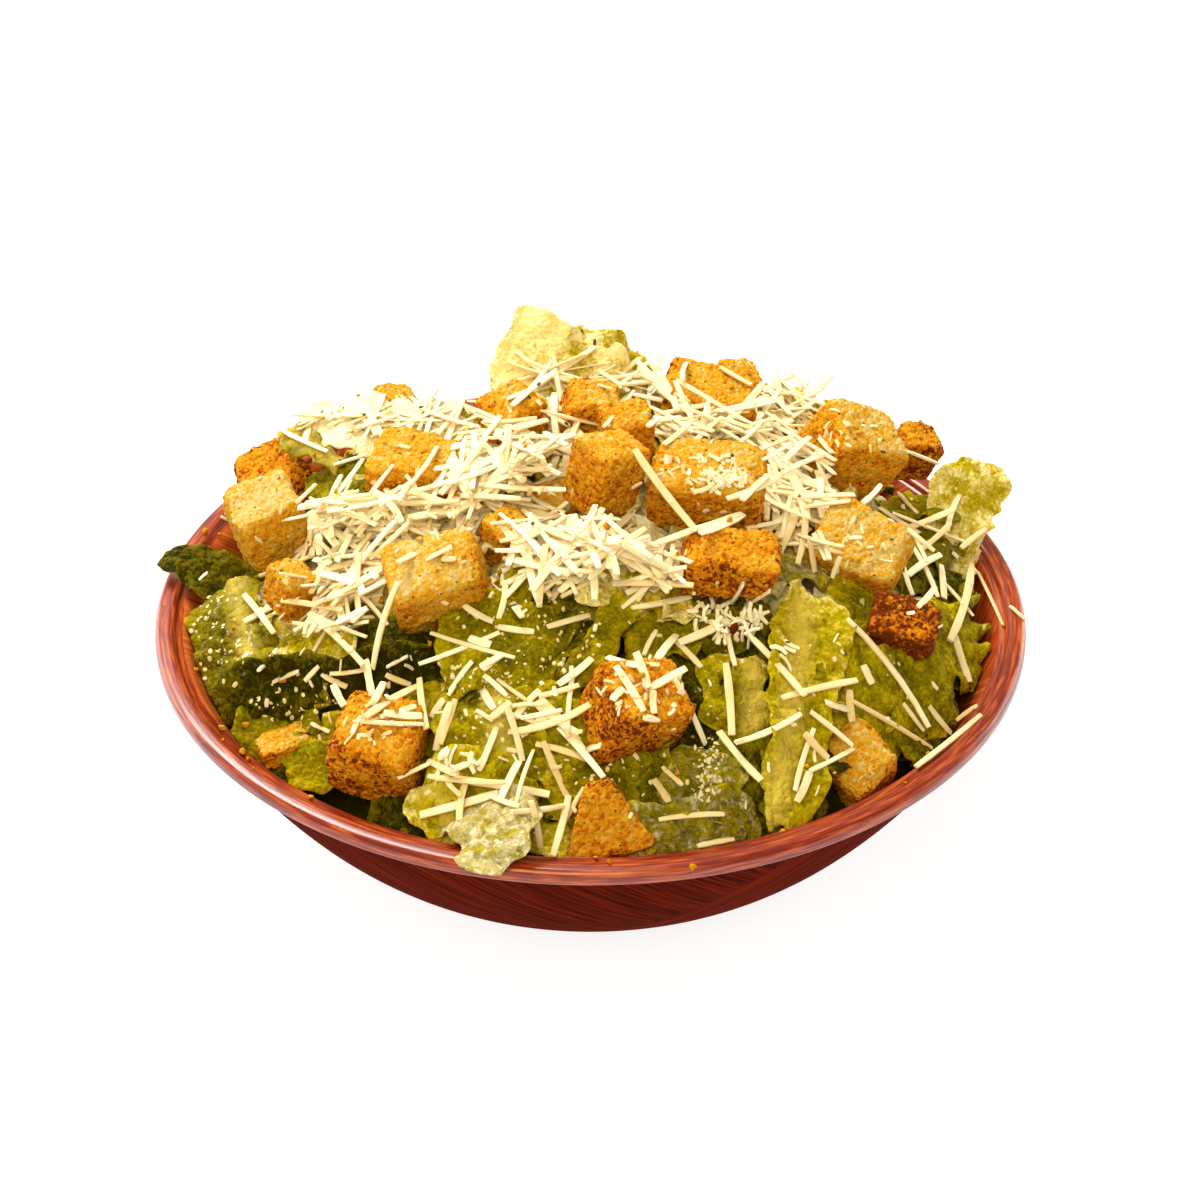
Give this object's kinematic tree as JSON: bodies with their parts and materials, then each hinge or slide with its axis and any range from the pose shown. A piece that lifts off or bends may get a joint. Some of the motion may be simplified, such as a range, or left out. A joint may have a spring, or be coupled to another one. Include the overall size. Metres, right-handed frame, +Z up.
{
  "type": "caesar salad in a bowl",
  "caption": "Wide pressed-wood bowl heaped above its rim with torn romaine leaves, toasted bread croutons and shredded hard cheese.",
  "frame": {"origin": "centre of the bowl's flat foot", "axes": "+Z up out of the bowl, -Y towards the side that is served, +X to the right"},
  "size_m": [0.2038, 0.2042, 0.1045],
  "materials": {
    "lacquered_wood": "pressed wood veneer under a glossy red-brown lacquer",
    "romaine_leaf": "crisp wet lettuce leaf with a thin film of dressing",
    "toasted_bread": "dry toasted bread crumb"
  },
  "bodies": {
    "root": {"bowl": "lacquered_wood", "romaine_heap": "romaine_leaf", "crouton_01": "toasted_bread", "crouton_02": "toasted_bread", "crouton_03": "toasted_bread", "crouton_04": "toasted_bread", "crouton_05": "toasted_bread", "crouton_06": "toasted_bread", "crouton_07": "toasted_bread", "crouton_08": "toasted_bread", "crouton_09": "toasted_bread", "crouton_10": "toasted_bread", "crouton_11": "toasted_bread", "crouton_12": "toasted_bread", "crouton_13": "toasted_bread", "crouton_14": "toasted_bread", "crouton_15": "toasted_bread", "crouton_16": "toasted_bread", "crouton_17": "toasted_bread", "crouton_18": "toasted_bread", "crouton_19": "toasted_bread", "crouton_20": "toasted_bread", "crouton_21": "toasted_bread", "crouton_22": "toasted_bread", "crouton_23": "toasted_bread", "crouton_24": "toasted_bread", "crouton_25": "toasted_bread", "crouton_26": "toasted_bread"}
  },
  "joints": []
}
